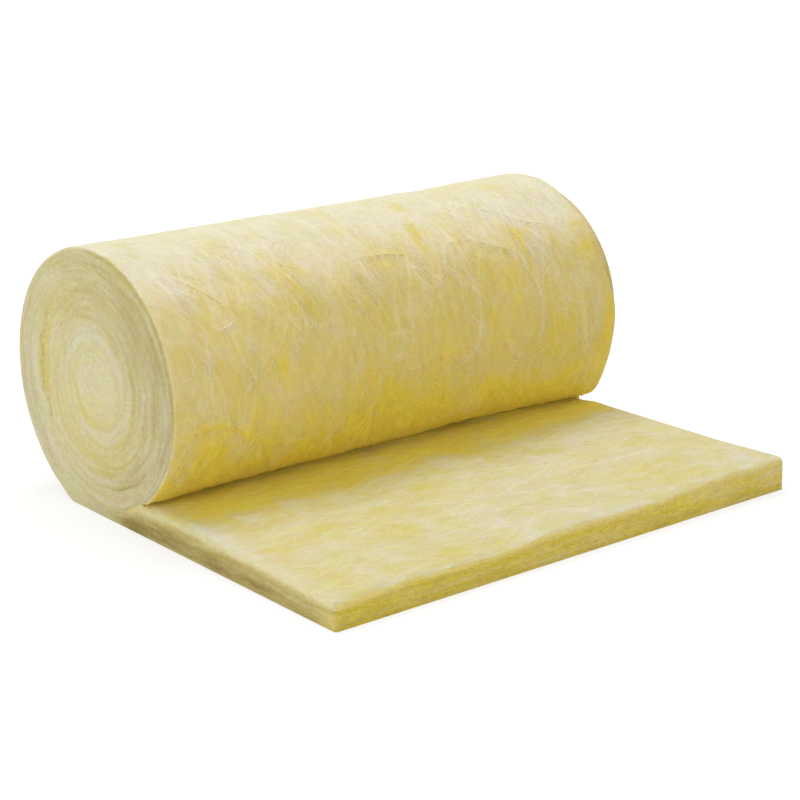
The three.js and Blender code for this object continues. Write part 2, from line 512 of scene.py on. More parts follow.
def shapeRoll(facts, place):
    # the open face: swells, pleats and the listed folds
    y, z, turns, unrolled = facts.y, facts.z, facts.turns, facts.unrolled
    slant = relief["pleatSlant"] * fadeOut(y, -0.35, 0.25)
    slanted = np.column_stack([unrolled[:, 0], y - slant * (unrolled[:, 0] - 0.6 * rollLength)])
    upperFront = hump(turns, 0.56, 0.84, 0.05)
    pleated = blend(0.35, 1, upperFront * (1 - 0.5 * smoothStep(y, -0.1, 0.3)))
    bulge = swell(unrolled, relief["rollSwell"])
    bulge += swell(slanted, relief["pleats"]) * pleated
    bulge += swell(slanted, relief["finePleats"]) * blend(0.3, 1, upperFront)
    bulge *= blend(0.4, 1, smoothStep(facts.fromEnd, 0.01, 0.06))
    isOpen = facts.isOuterTurn & (facts.row == 0) & ~facts.onEnd
    lifted = alongFolds(unrolled[isOpen], lambda fold: fold.height)
    hollow = alongFolds(unrolled[isOpen], lambda fold: fold.height, beside=1.5)
    bulge[isOpen] += relief["foldHeight"] * (lifted - relief["foldHollow"] * hollow)
    loft = relief["rollLoft"] + relief["farTop"] * smoothStep(y, 0.35, 0.6) * hump(turns, 0.44, 0.52, 0.03)
    loft -= relief["farPressIn"] * smoothStep(y, 0.25, 0.6) * hump(turns, 0.60, 0.69, 0.06)
    place += facts.normal * ((bulge + loft) * isOpen * smoothStep(z, 0.004, 0.05))[:, None]

    # the far end sags forward and slips out of line
    forward, outward, reach = relief["farBulge"]
    near = np.exp(-(np.hypot(facts.fromTuck - 0.02, z - 0.07) / reach) ** 2)
    place[:, 0] += forward * near * smoothStep(y, 0.26, 0.6)
    place[:, 1] += outward * near * smoothStep(y, 0.35, 0.6) * smoothStep(z, 0.03, 0.08) * facts.isWound


def slipOf(turns):
    # how deep a turn sits at the end of the roll
    inStep = hump(turns % 1, *relief["stepTurns"], 0.06) * smoothStep(turns, 1.9, 2.1)
    fade = np.exp(-np.maximum(turns - 2.4, 0) / 1.2)
    return swell(turns, relief["slip"]) + relief["step"] * inStep * fade


def seamAt(turns, radius):
    # depth of the groove where two turns meet
    deep = relief["seamDepth"] * (0.6 + swell(turns, relief["seamVary"]))
    # felted shut on the rear side and over the top, where the turns press together
    deep *= 1 - 0.9 * hump(turns % 1, 0.10, 0.60, 0.10) * fadeOut(turns, 2.0, 2.1)
    deep *= 1 - 0.7 * hump(turns, *(2 + part for part in relief["stepTurns"]), 0.06)
    deep += relief["openSeamDepth"] * hump(turns, *relief["openSeam"])
    return np.maximum(deep, 0.0004) * smoothStep(radius, *relief["coreFade"])


def shapeEnds(facts, place):
    # turns slipped in and out of line, grooves between them, swells
    x, z, turns, onEnd, isOuterTurn = facts.x, facts.z, facts.turns, facts.onEnd, facts.isOuterTurn
    radius = np.hypot(x - axisX, z - axisHeight)
    nearEnd = facts.inward > 0
    side = np.where(nearEnd, 0, 50)  # so that the far end gets other swells
    ringed = onEnd & facts.isWound
    outerGap = np.where(isOuterTurn, 1.0, facts.fromOuter)
    gap = np.minimum(outerGap, facts.fromTop)
    outwards = outerGap < facts.fromTop
    # a turn that stands proud is rounded off towards a deeper neighbour
    beyond = slipOf(np.where(outwards, turns - 1, turns + 1) + side)
    deeper = slipOf(turns + side)
    deeper += np.maximum(beyond - deeper, 0) * fadeOut(gap, 0, relief["lip"])
    deeper = np.where(nearEnd | ~ringed, deeper, swell(turns, relief["farSlip"]))
    seamTurns = np.where(outwards, turns, turns + 1)
    groove = seamAt(seamTurns, radius) * np.clip(1 - gap / relief["seamWidth"], 0, 1) ** 1.6
    uneven = swell(np.column_stack([x, z]) + side[:, None], relief["endSwell"]) * smoothStep(z, 0, 0.02)
    rim = np.where(isOuterTurn, smoothStep(facts.fromOuter, 0.002, 0.02), 1)
    place[:, 1] += facts.inward * (ringed * (np.maximum(deeper, -0.004) + groove) + uneven) * rim * onEnd

    # seams wander a little within the end, more where the step is ragged
    ragged = hump(seamTurns, *(2 + part for part in relief["stepTurns"]), 0.04)
    sway = swell(facts.along, relief["seamSway"]) + ragged * swell(facts.along, relief["raggedSway"])
    sway *= ringed * np.clip(1 - gap / 0.016, 0, 1) * (gap < 0.9)
    place[:, (0, 2)] += facts.section * sway[:, None]


def foldCorner(back, side, radius):
    # a square corner becomes a quarter round: back and side are distances from its two faces
    safe = np.maximum(radius, 1e-6)
    p, q = np.clip(safe - back, 0, None), np.clip(safe - side, 0, None)
    far, near = np.maximum(p, q), np.minimum(p, q)
    turn = math.pi / 4 * near / np.maximum(far, 1e-9)
    long, short = far * np.cos(turn), far * np.sin(turn)
    newP, newQ = np.where(p >= q, long, short), np.where(p >= q, short, long)
    inCorner = (p > 0) & (q > 0) & (radius > 0)
    return (np.where(inCorner, safe - newP, back) - back, np.where(inCorner, safe - newQ, side) - side)


def roundEdges(facts, place):
    # soft shoulders round both ends, fading out where the blanket lies on the floor
    y, z, fromFront, isOuterTurn = facts.y, facts.z, facts.fromFront, facts.isOuterTurn
    intoNip = smoothStep(facts.turns, 0.86, 0.915)
    rollEdge = relief["rollShoulder"] * smoothStep(z, 0.0, 0.035) * (1 - 0.4 * intoNip)
    sheetEdge = relief["sheetShoulder"] * (facts.isSheet & (z > 0.02)) * smoothStep(facts.fromTuck, 0, 0.02)
    # the far front corner has kept its crisp cut
    sheetEdge *= 1 - 0.75 * smoothStep(y, 0.3, 0.55) * fadeOut(fromFront, 0, 0.2)
    moveIn, moveAcross = foldCorner(np.where(isOuterTurn, facts.fromOuter, facts.fromTop), facts.fromEnd,
                                    np.where(isOuterTurn, rollEdge, sheetEdge))
    moveIn = np.where(isOuterTurn, moveIn, -moveIn)
    place[:, (0, 2)] += facts.section * moveIn[:, None]
    place[:, 1] += facts.inward * moveAcross

    # and along the top of the cut front edge
    radius = blend(*relief["frontShoulder"], smoothStep(y, -0.25, 0.5))
    moveBack, moveDown = foldCorner(fromFront, blanket["thickness"] - z, radius * facts.isSheet)
    place[:, 0] -= moveBack
    place[:, 2] -= moveDown

    # and down its two upright corners
    radius, softer = relief["cornerRadius"]
    radius = radius + softer * smoothStep(z, 0, 0.05) * fadeOut(y, -0.3, 0.3)
    moveBack, moveAcross = foldCorner(fromFront, facts.fromEnd, radius * facts.isSheet)
    place[:, 0] -= moveBack
    place[:, 1] += facts.inward * moveAcross


def shapeShell(piece):
    facts = factsOf(piece)
    place = pointsOf(piece)
    for shape in (liftNip, shapeSheet, shapeRoll, shapeEnds, roundEdges):
        shape(facts, place)
    place[:, 2] = np.where(facts.z < 1e-5, 0, np.maximum(place[:, 2], 0))
    movePoints(piece, place)
    return facts


facts = shapeShell(shell)
print("relief laid over the blanket")


# tones painted on the blanket: cut faces, golden binder, dense wool, and painted light and shade: a painted
# shadow in front of the crease, painted shade beside the folds and in the step's recess, painted light at
# the crease and on raised bundles

tones = {
    # share of a turn, from under the axis up the rear, and the gold there: partly the binder's tone, partly
    # painted light, creamy on top where it is brightest lit and golden low down towards the crease, where
    # the light is warm and dim
    "roll": ((0, 0.55), (0.15, 0.42), (0.3, 0.22), (0.42, 0.08), (0.55, 0.03), (0.6, 0.15), (0.68, 0.45),
             (0.76, 0.52), (0.8, 0.66), (0.86, 0.98), (0.9, 1.1), (1, 1.1)),
    # distance in front of the crease, as a share of the golden zone's reach, and the gold. The golden zone
    # is partly the binder's tone and partly a painted shadow where the roll overhangs the sheet
    "sheet": ((0, 0.9), (0.3, 0.89), (0.85, 0.93), (1, 0.92), (1.22, 0.76), (1.45, 0.42), (1.8, 0.28),
              (4, 0.23), (5, 0.18)),
    "goldenShadowReach": (0.174, 0.140),  # of the golden zone and its painted shadow, at the near side and the far one
    "rollWander": ((0.010, (0.16,), 51), (0.006, (0.05,), 52)),  # of the zones' edges, as swells
    "reachWander": ((0.10, (0.14,), 53), (0.05, (0.05,), 54)),
    "gold": {"under": 0.4, "front": 0.82, "side": 0.46, "end": 0.25, "shoulder": 0.24},
    "nearCornerGold": 0.16,  # more of it on the long side, at the near front corner
    "frontPaler": (0.30, 0.12),  # less of it at the front's top edge, and at its far corner
    "rollEdgePaler": 0.35,  # share that is missing at the roll's rims
    "corePaler": 0.08,
    # on the roll: share of a turn, then place across and size along and across in mm, gold
    "rollPatches": (
        (0.719, -335, 26, 10, 0.36), (0.803, -470, 35, 110, 0.06), (0.792, -487, 30, 30, 0.14),
        (0.645, -410, 35, 55, 0.16), (0.631, -26, 28, 36, 0.1), (0.794, -53, 34, 17, 0.3),
        (0.807, 253, 14, 28, 0.24), (0.822, 109, 44, 22, 0.14), (0.655, -190, 40, 40, -0.08),
        (0.74, -575, 50, 30, -0.12), (0.805, -400, 30, 45, -0.12), (0.645, 425, 35, 30, -0.22),
        (0.72, 250, 60, 50, 0.08), (0.56, 280, 30, 40, 0.1), (0.623, 203, 11, 10, 0.22),
        (0.688, -72, 42, 16, 0.14), (0.541, 148, 30, 16, 0.4), (0.805, 235, 30, 40, 0.3),
        (0.815, -10, 70, 70, 0.25), (0.64, 0, 20, 30, 0.12), (0.748, 580, 45, 12, 0.45),
        (0.52, 430, 50, 20, 0.18), (0.69, 270, 60, 30, 0.18), (0.625, 385, 18, 18, 0.3),
        (0.657, 560, 16, 18, 0.4), (0.745, 100, 40, 40, 0.14), (0.76, 440, 60, 30, 0.18),
        (0.59, -560, 60, 50, -0.08), (0.8, -570, 50, 40, -0.12), (0.59, 440, 35, 110, -0.16),
        (0.64, 90, 40, 20, -0.12), (0.735, -150, 120, 140, 0.08), (0.6, -420, 50, 40, -0.12),
        (0.66, 250, 90, 120, 0.06), (0.835, 380, 45, 100, 0.16), (0.3, -200, 120, 60, 0.25),
        (0.22, 300, 70, 30, 0.4), (0.35, 50, 60, 120, -0.18), (0.15, -420, 50, 90, 0.3)),
    # on the laid-out blanket: the same, but the first is mm in front of the crease
    "sheetPatches": (
        (455, -320, 35, 70, 0.06), (500, -270, 24, 30, 0.12), (430, -500, 25, 70, 0.12),
        (330, -90, 24, 50, 0.16), (250, 180, 30, 50, 0.16), (610, 360, 35, 50, 0.2),
        (620, -540, 50, 40, 0.12), (535, 330, 16, 18, 0.26), (390, -385, 10, 25, 0.24),
        (80, 490, 30, 90, 0.14), (130, -330, 40, 70, 0.12), (210, -170, 18, 40, 0.18),
        (640, -280, 30, 80, 0.14), (400, 100, 80, 140, -0.08), (560, 0, 70, 120, -0.08),
        # on the next line, the last two pale the golden zone along the near edge: less painted shadow
        # there, where light comes in from the side
        (300, 420, 40, 120, -0.1), (100, -590, 110, 28, -0.46), (300, -590, 200, 16, -0.2)),
    # on the ends: share of a turn, then mm from the axis and sizes, gold
    "endPatches": (
        # on the next line, the patch at 0.29 lies in the recess beside the ragged step: painted warm shade
        (0.21, 285, 180, 38, -0.14), (0.29, 222, 90, 11, 0.26), (0.22, 214, 30, 16, 0.18),
        (0.12, 160, 60, 40, 0.1), (0.885, 290, 130, 20, -0.2), (0.06, 205, 50, 30, -0.08),
        (0.42, 190, 130, 26, 0.1), (0.1, 85, 60, 8, 0.16), (0.55, 290, 130, 28, 0.12),
        (0.72, 316, 150, 14, 0.14), (0.96, 175, 110, 18, 0.16), (0.75, 92, 50, 8, 0.12),
        (0.7, 112, 120, 12, -0.16), (0.3, 120, 100, 12, -0.12), (0.02, 60, 40, 22, 0.12),
        (0.88, 140, 80, 12, 0.1), (0.45, 135, 80, 10, 0.1)),
    # the same for darker patches: denser wool, and painted shade in the recess beside the ragged step
    "darkerEndPatches": (
        (0.75, 292, 260, 55, 0.42), (0.62, 200, 200, 60, 0.18), (0.5, 290, 120, 40, 0.1),
        # on the next line, the patch at 0.28 darkens the recess beside the ragged step: painted shade
        (0.72, 170, 120, 40, 0.12), (0.9, 215, 80, 14, 0.22), (0.28, 228, 90, 5, 0.18),
        (0.27, 300, 160, 30, 0.14), (0.17, 300, 110, 22, 0.16)),
    # and on the long cut edge: mm in front of the crease, height and sizes
    "sidePatches": (
        (120, 20, 50, 12, 0.5), (300, 16, 40, 10, 0.55), (450, 22, 60, 10, 0.3), (-20, 15, 50, 10, 0.4)),
    # denser, darker wool on the cut faces and on the roll's middle and its far part, and darker along the
    # cut faces' foot
    "denseAndShade": {"end": 0.045, "front": 0.05, "side": 0.44, "foot": 0.16, "roll": 0.07, "rollFar": 0.12},
    "crease": -0.09,  # painted light: lighter at the crease, standing in for the light the wool lets into it, and a painted highlight on folds with a bundle
    "paintedFoldShade": 26,  # painted shade beside a fold, for each metre of its height
    # how far the wool is drawn into ridges, by the share of a turn on the roll, and laid out
    "creased": ((0, 0.8), (0.5, 0.6), (0.57, 0.9), (0.66, 0.9), (0.71, 0.5), (0.78, 0.5), (0.83, 1.15),
                (1, 1.15)),
    "creasedSheet": 0.95,
    "creasedFold": (0.45, 0.028, 1.7),  # more round a fold, how far round, and the most in all
    # how much the layers show on a cut edge, and how cloudy the faces are
    "layered": {"end": 0.66, "core": 0.50, "side": 0.8, "front": 1.15},
    "cloudy": {"roll": 0.54, "sheet": 0.58, "golden": 0.6},
    # how far the faintly green glass shows through, most where fibres are cut
    "greenish": {"end": 0.60, "side": 0.45, "sheet": 0.62, "rollTop": 0.60, "front": 0.0},
}


def findFaces(facts):
    # the blanket's faces, each painted in its own way
    x, z = facts.x - axisX, facts.z - axisHeight
    facts.roll = facts.isOuterTurn & ~facts.onEnd
    facts.open = facts.roll & (facts.row == 0)
    facts.sheetTop = ~facts.isWound & (facts.z > 0.03) & ~facts.onEnd
    facts.ringed = facts.onEnd & facts.isWound
    facts.beside = facts.onEnd & ~facts.isWound
    facts.radius = np.hypot(x, z)
    facts.around = np.arctan2(-x, -z) / fullTurn % 1
    facts.core = facts.ringed * fadeOut(facts.radius, 0.030, 0.100)
    # on the long side the laid-out blanket's tones run into those of the wound end
    facts.woundShare = np.where(facts.ringed, 1, fadeOut(x, 0, 0.12))
    # the long side's rounded top edge is still the face's own wool
    onEdge = fadeOut(facts.fromTop, 0.004, 0.022) * smoothStep(facts.fromTuck, 0, 0.03)
    facts.shoulder = facts.beside * onEdge


def gapAround(facts, turn):
    # along the winding on an end, from a share of a turn
    return ((facts.around - turn + 0.5) % 1 - 0.5) * fullTurn * facts.radius


def addPatches(values, where, patches, gapAlong, across):
    # soft oval spots, with their places across and their sizes in mm
    for placeAlong, placeAcross, sizeAlong, sizeAcross, amount in patches:
        along = gapAlong(placeAlong) / (sizeAlong * mm)
        aside = (across - placeAcross * mm) / (sizeAcross * mm)
        values += where * amount * np.exp(-0.5 * (along ** 2 + aside ** 2))


def paintGold(facts):
    y, z, fromTuck, golds = facts.y, facts.z, facts.fromTuck, tones["gold"]
    gold = np.full(len(y), golds["under"])
    part = facts.part + swell(y, tones["rollWander"])
    # on the roll, paler on top and golden low down: partly painted light
    gold[facts.roll] = np.interp(part, *zip(*tones["roll"]))[facts.roll]
    # on the laid-out part, the golden zone in front of the crease is partly a painted shadow of the roll's
    # overhang
    reach = blend(*tones["goldenShadowReach"], y / blanket["width"] + 0.5) * (1 + swell(y, tones["reachWander"]))
    gold[facts.sheetTop] = np.interp(fromTuck / reach, *zip(*tones["sheet"]))[facts.sheetTop]
    gold[facts.onEnd] = blend(golds["side"], golds["end"], facts.woundShare)[facts.onEnd]
    gold += tones["nearCornerGold"] * facts.beside * fadeOut(facts.fromFront, 0, 0.12)
    gold += (golds["shoulder"] - gold) * facts.shoulder
    atTop, atFar = tones["frontPaler"]
    front = golds["front"] - atTop * smoothStep(z, 0.052, 0.068) - atFar * smoothStep(y, 0.3, 0.58)
    gold[facts.onFront] = front[facts.onFront]
    addPatches(gold, facts.roll, tones["rollPatches"], lambda turn: (facts.part - turn) * rollLength, y)
    addPatches(gold, facts.sheetTop, tones["sheetPatches"], lambda ahead: fromTuck - ahead * mm, y)
    addPatches(gold, facts.ringed, tones["endPatches"], partial(gapAround, facts), facts.radius)
    gold[facts.open] += alongFolds(facts.unrolled[facts.open], lambda fold: fold.gold, widen=1.2)
    gold *= 1 - tones["rollEdgePaler"] * facts.roll * fadeOut(facts.fromEnd, 0, 0.014)
    return gold - tones["corePaler"] * facts.core


def paintDenseAndShade(facts):
    y, z, roll, fromTuck, amounts = facts.y, facts.z, facts.roll, facts.fromTuck, tones["denseAndShade"]
    laidSide = facts.beside * (1 - facts.woundShare) * blend(0.3, 1, smoothStep(facts.fromFront, 0, 0.10))
    denseAndShade = amounts["foot"] * (facts.onFront + laidSide) * fadeOut(z, 0.004, 0.05)
    denseAndShade += amounts["side"] * laidSide * smoothStep(facts.fromTop, 0.008, 0.026)
    denseAndShade += amounts["front"] * facts.onFront
    denseAndShade += amounts["end"] * facts.ringed * smoothStep(facts.radius, 0.08, 0.17)
    onMiddle = amounts["roll"] + amounts["rollFar"] * smoothStep(y, -0.45, 0.0)
    denseAndShade += roll * hump(facts.part, 0.66, 0.77, 0.06) * onMiddle
    # painted light: the roll's lowest part and the sheet just in front of the crease are painted lighter
    paintedCreaseLight = roll * smoothStep(facts.part, 0.80, 0.88)
    paintedCreaseLight = paintedCreaseLight + facts.sheetTop * fadeOut(fromTuck, 0.03, 0.10)
    denseAndShade += tones["crease"] * paintedCreaseLight
    unrolled = facts.unrolled[facts.open]
    # painted shade in the hollow beside each fold, and a painted highlight on the folds that carry a bundle
    hollow = alongFolds(unrolled, lambda fold: max(fold.height, 0), widen=0.8, beside=1.3)
    raised = alongFolds(unrolled, lambda fold: fold.bundle > 0, widen=1.2)
    denseAndShade[facts.open] += tones["paintedFoldShade"] * hollow + tones["crease"] * raised
    addPatches(denseAndShade, facts.beside, tones["sidePatches"], lambda ahead: fromTuck - ahead * mm, z)
    addPatches(denseAndShade, facts.ringed, tones["darkerEndPatches"], partial(gapAround, facts), facts.radius)
    return denseAndShade


def paintContrast(facts, gold):
    layered, cloudy = tones["layered"], tones["cloudy"]
    onRoll = cloudy["roll"] * (1 + cloudy["golden"] * smoothStep(gold, 0.45, 0.85))
    contrast = np.where(facts.sheetTop, cloudy["sheet"], onRoll)
    onCut = blend(layered["side"], layered["end"], facts.woundShare)
    onCut += (layered["core"] - layered["end"]) * facts.core
    contrast = np.where(facts.onEnd, onCut, np.where(facts.onFront, layered["front"], contrast))
    # the wool is felted round the top edges, so the layers show from just below them
    below = np.where(facts.onFront, blanket["thickness"] - facts.z, facts.fromTop)
    isEdge = (facts.beside & (facts.x > axisX + 0.1)) | facts.onFront
    contrast[isEdge] *= smoothStep(below, 0.002, 0.016)[isEdge]
    return contrast


def paintGreen(facts):
    greenish = tones["greenish"]
    green = greenish["sheet"] * facts.sheetTop
    green = green + greenish["rollTop"] * facts.roll * fadeOut(facts.part, 0.52, 0.66)
    green = np.where(facts.onEnd, blend(greenish["side"], greenish["end"], facts.woundShare), green)
    green += (greenish["sheet"] - green) * facts.shoulder
    return np.where(facts.onFront, greenish["front"], green)


def paintCreased(facts):
    amount, reach, most = tones["creasedFold"]
    creased = np.where(facts.roll, np.interp(facts.part, *zip(*tones["creased"])), tones["creasedSheet"])
    creased[facts.open] += amount * alongFolds(facts.unrolled[facts.open], lambda fold: 1, reach=reach)
    return np.minimum(creased, most)


def paintTones(piece, facts):
    findFaces(facts)
    gold = paintGold(facts)
    painted = {
        "cut": facts.onEnd | facts.onFront,
        "across": facts.isSheet,
        "gold": gold,
        "denseAndShade": paintDenseAndShade(facts),
        "contrast": paintContrast(facts, gold),
        "greenish": paintGreen(facts),
        "creased": paintCreased(facts),
    }
    for name, values in painted.items():
        addNumbers(piece, name, values)
    return tuple(painted)


paintedNames = paintTones(shell, facts)
print("tones painted on the blanket")


# materials

def linear(hexColour):
    channels = [int(hexColour[i:i + 2], 16) / 255 for i in (1, 3, 5)]
    return tuple(c / 12.92 if c <= 0.04045 else ((c + 0.055) / 1.055) ** 2.4 for c in channels) + (1.0,)


def addNode(tree, kind, inputs=None, **settings):
    node = tree.nodes.new("ShaderNode" + kind)
    for name, value in settings.items():
        setattr(node, name, value)
    for name, value in (inputs or {}).items():
        if isinstance(value, bpy.types.Node):
            value = value.outputs[0]
        if isinstance(value, bpy.types.NodeSocket):
            tree.links.new(value, node.inputs[name])
        else:
            node.inputs[name].default_value = value
    return node


def emptyTree(owner):
    # clears the owner's nodes, and gives the function that adds new ones to it
    owner.use_nodes = True
    owner.node_tree.nodes.clear()
    return partial(addNode, owner.node_tree)


wool = {
    "cream": "#f1e7ca",  # clean glass wool
    "yellow": "#eedb86",  # wool with its cured binder
    "golden": "#f6de4a",  # binder-rich patches
    "denseAndShade": "#a58e4e",  # close-packed wool that light doesn't get into, also the colour of the painted shade
    "greenish": "#f4ffff",  # what the glass itself takes away where it shows
    "blush": ("#fafff8", "#fff6fb"),  # greener and pinker wool, in patches
    "toYellow": (0.0, 0.54),  # the tones between which cream turns yellow
    "toGolden": (0.56, 0.96),  # and yellow turns golden
    # each noise of the felt: its space, its size in mm along, across and down, detail, roughness,
    # and how soft the edges of its patches are
    "noises": {
        "cloud": ("curled", (85, 85, 70), 4.0, 0.68, 0.17),  # patches of binder on the faces
        "streak": ("curled", (150, 30, 70), 3.0, 0.62, 0.12),  # drawn-out patches
        "speck": ("solid", (7, 7, 7), 3.0, 0.6, 0.20),
        "layer": ("wavy", (85, 85, 5.4), 3.0, 0.6, 0.20),  # one felted layer on a cut face
        "band": ("wavy", (150, 150, 15), 2.0, 0.55, 0.20),  # darker and lighter groups of layers
        "hair": ("felt", (16, 16, 2.4), 2.0, 0.6, 0.20),  # fibres' ends there
        "tangle": ("solid", (15, 15, 11), 3.0, 0.55, 0.20),
        "blush": ("solid", (34, 34, 26), 3.0, 0.65, 0.20),
    },
    "drift": ((170, 170, 150), (80, 80, 0)),  # mm: how slowly the bundles curl, and how far
    "bend": ((55, 55, 40), (0, 0, 14)),  # the same for the layers on a cut face
    # bundles of fibres on the faces: turn in degrees, length and width in mm. Single
    # fibres are far too fine to show, so these are as coarse as they need to be
    "strokes": ((12, 170, 17), (164, 150, 14), (40, 90, 10)),
    "fibres": ((5, 46, 3.0), (72, 40, 2.8), (137, 44, 3.0)),
    "bundleDepth": 40,  # mm
    "reliefHeight": 0.0032,
    "shade": 0.09,  # the least darkness on all the wool, so that raised bundles, the crease and folds with a bundle can be painted lighter, as painted light
    # each share of the tone, of the darkness and of the relief, for the faces and for the cut
    # edges. The first list of each is scaled by how much contrast is painted there
    "faceTone": ({"cloud": 0.66, "streak": 0.16}, {"strokes": -0.10, "fibres": -0.06, "blush": -0.13}),
    "cutTone": ({"layer": 0.12, "band": 0.42}, {"blush": -0.08, "tangle": 0.06}),
    # the darkness follows the same noises as the relief: darker where they sink, as painted shade between
    # the bundles and layers, lighter where they rise; the cloud and band shares are the wool's own darker
    # patches
    "faceDark": ({"cloud": 0.08}, {"strokes": -0.18, "fibres": -0.12, "tangle": -0.05}),
    "cutDark": ({"layer": -0.20, "band": 0.17, "hair": -0.14}, {"speck": -0.12, "tangle": -0.16}),
    "faceHeight": ({"cloud": 0.6, "streak": 0.5},
                   {"strokes": 0.55, "fibres": 0.10, "speck": 0.16, "tangle": 0.24}),
    "cutHeight": ({"layer": 0.42, "band": 0.30, "hair": 0.38}, {"speck": 0.36, "tangle": 0.50}),
}


def addSpaces(add, painted):
    # the felt's own spaces in mm: along the blanket, across it, and down through it
    unrolled = add("SeparateXYZ", {0: add("UVMap", uv_map="unrolled")}).outputs
    still = add("TexCoord").outputs["Object"]
    across = add("SeparateXYZ", {0: still}).outputs[1]
    metres = add("CombineXYZ", {0: unrolled[0], 1: across, 2: unrolled[1]})
    felt = add("VectorMath", {0: metres, "Scale": 1000.0}, operation="SCALE")
    # the bundles lie along the roll's winding, and across the laid-out part
    turned = add("Mapping", {0: felt, 2: (0, 0, math.pi / 2)})
    laid = add("Mix", {0: painted["across"], 4: felt, 5: turned}, data_type="VECTOR").outputs[1]

    def stray(size, reach, space, output, centre=None):
        place = add("Mapping", {0: felt, 3: size}, vector_type="TEXTURE")
        drift = add("TexNoise", {0: place, "Scale": 1.0, "Detail": 2.0}).outputs[output]
        if centre:
            drift = add("VectorMath", {0: drift, 1: centre}, operation="SUBTRACT")
        return add("VectorMath", {0: drift, 1: reach, 2: space}, operation="MULTIPLY_ADD")

    return {
        "felt": felt,
        "solid": add("VectorMath", {0: still, "Scale": 1000.0}, operation="SCALE"),
        "curled": stray(*wool["drift"], laid, "Color", (0.5, 0.5, 0.5)),
        "wavy": stray(*wool["bend"], felt, "Fac"),
    }


def addBundles(add, space, strokes):
    # bundles of fibres lying in several directions, the topmost one showing
    top = None
    for turn, length, width in strokes:
        place = add("Mapping", {0: space, 1: (turn * 7.0, turn * 3.0, 0), 2: (0, 0, math.radians(turn)),
                                3: (length, width, wool["bundleDepth"])}, vector_type="TEXTURE")
        bundle = add("TexNoise", {0: place, "Scale": 1.0, "Detail": 2.0, "Roughness": 0.5})
        top = add("Math", {0: top, 1: bundle}, operation="MAXIMUM") if top else bundle
    return add("MapRange", {0: top, 1: 0.50, 2: 0.8, 3: -0.35, 4: 0.65})


def addFelt(add, painted):
    spaces = addSpaces(add, painted)
    felted = {}
    for name, (space, size, detail, roughness, soft) in wool["noises"].items():
        place = add("Mapping", {0: spaces[space], 3: size}, vector_type="TEXTURE")
        noise = add("TexNoise", {0: place, "Scale": 1.0, "Detail": detail, "Roughness": roughness})
        felted[name] = add("MapRange", {0: noise, 1: 0.5 - soft, 2: 0.5 + soft, 3: -0.5, 4: 0.5})
    for name in ("strokes", "fibres"):
        felted[name] = addBundles(add, spaces["curled"], wool[name])
    felted["strokes"] = add("Math", {0: felted["strokes"], 1: painted["creased"]}, operation="MULTIPLY")
    return felted


def makeGlassWool():
    # glass wool: spun fibres felted into layers with a yellow cured binder. Matt, cloudy
    # cream and yellow, tangled bundles on the faces and fine layers on the cut edges
    material = bpy.data.materials.new("glassWoolFelted")
    add = emptyTree(material)
    painted = {name: add("Attribute", attribute_name=name).outputs["Fac"] for name in paintedNames}
    felted = addFelt(add, painted)

    def addUp(total, shares):
        for source, share in shares.items():
            total = add("Math", {0: felted[source], 1: share, 2: total}, operation="MULTIPLY_ADD")
        return total

    # the darkness: the wool's density and the painted shade, made less where light is painted
    uneven = add("Math", {0: felted["band"], 1: 0.4, 2: 0.85}, operation="MULTIPLY_ADD")
    shaded = add("Math", {0: uneven, 1: painted["denseAndShade"], 2: wool["shade"]}, operation="MULTIPLY_ADD")
    mixed = {}
    for quality, base in {"Tone": painted["gold"], "Dark": shaded, "Height": 0.0}.items():
        sides = []
        for face in ("face", "cut"):
            scaled, plain = wool[face + quality]
            total = addUp(0.0, scaled)
            total = add("Math", {0: total, 1: painted["contrast"], 2: base}, operation="MULTIPLY_ADD")
            sides.append(addUp(total, plain))
        mixed[quality] = add("Mix", {0: painted["cut"], 2: sides[0], 3: sides[1]})

    # cream to yellow to golden, darker where the wool is dense and where shade is painted, lighter where
    # light is painted
    toYellow, toGolden = (add("MapRange", {0: mixed["Tone"], 1: low, 2: high})
                          for low, high in (wool["toYellow"], wool["toGolden"]))
    greener, pinker = wool["blush"]
    patchy = add("Math", {0: felted["blush"], 1: 0.5}, operation="ADD")
    blush = add("Mix", {0: patchy, 6: linear(greener), 7: linear(pinker)}, data_type="RGBA").outputs[2]
    colour = linear(wool["cream"])
    for share, other, way in ((toYellow, linear(wool["yellow"]), "MIX"),
                              (toGolden, linear(wool["golden"]), "MIX"),
                              (add("Clamp", {0: mixed["Dark"]}), linear(wool["denseAndShade"]), "MIX"),
                              (painted["greenish"], linear(wool["greenish"]), "MULTIPLY"),
                              (1.0, blush, "MULTIPLY")):
        colour = add("Mix", {0: share, 6: colour, 7: other}, data_type="RGBA", blend_type=way).outputs[2]

    bump = add("Bump", {"Strength": 1.0, "Distance": wool["reliefHeight"], "Height": mixed["Height"]})
    shader = add("BsdfPrincipled", {
        "Base Color": colour, "Roughness": 0.95, "Specular IOR Level": 0.15, "Normal": bump,
        "Sheen Weight": 0.08, "Sheen Roughness": 0.6})
    add("OutputMaterial", {0: shader})
    return material


def dress(piece, material):
    piece.data.materials.clear()
    piece.data.materials.append(material)


glassWool = makeGlassWool()
dress(shell, glassWool)
activate(shell)
bpy.ops.object.shade_smooth_by_angle(angle=math.radians(55))
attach(shell, "root")
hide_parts("glass_wool_blanket")
print("glass wool on the blanket")


# loose bundles of fibres lying on the blanket, on the folds and scattered

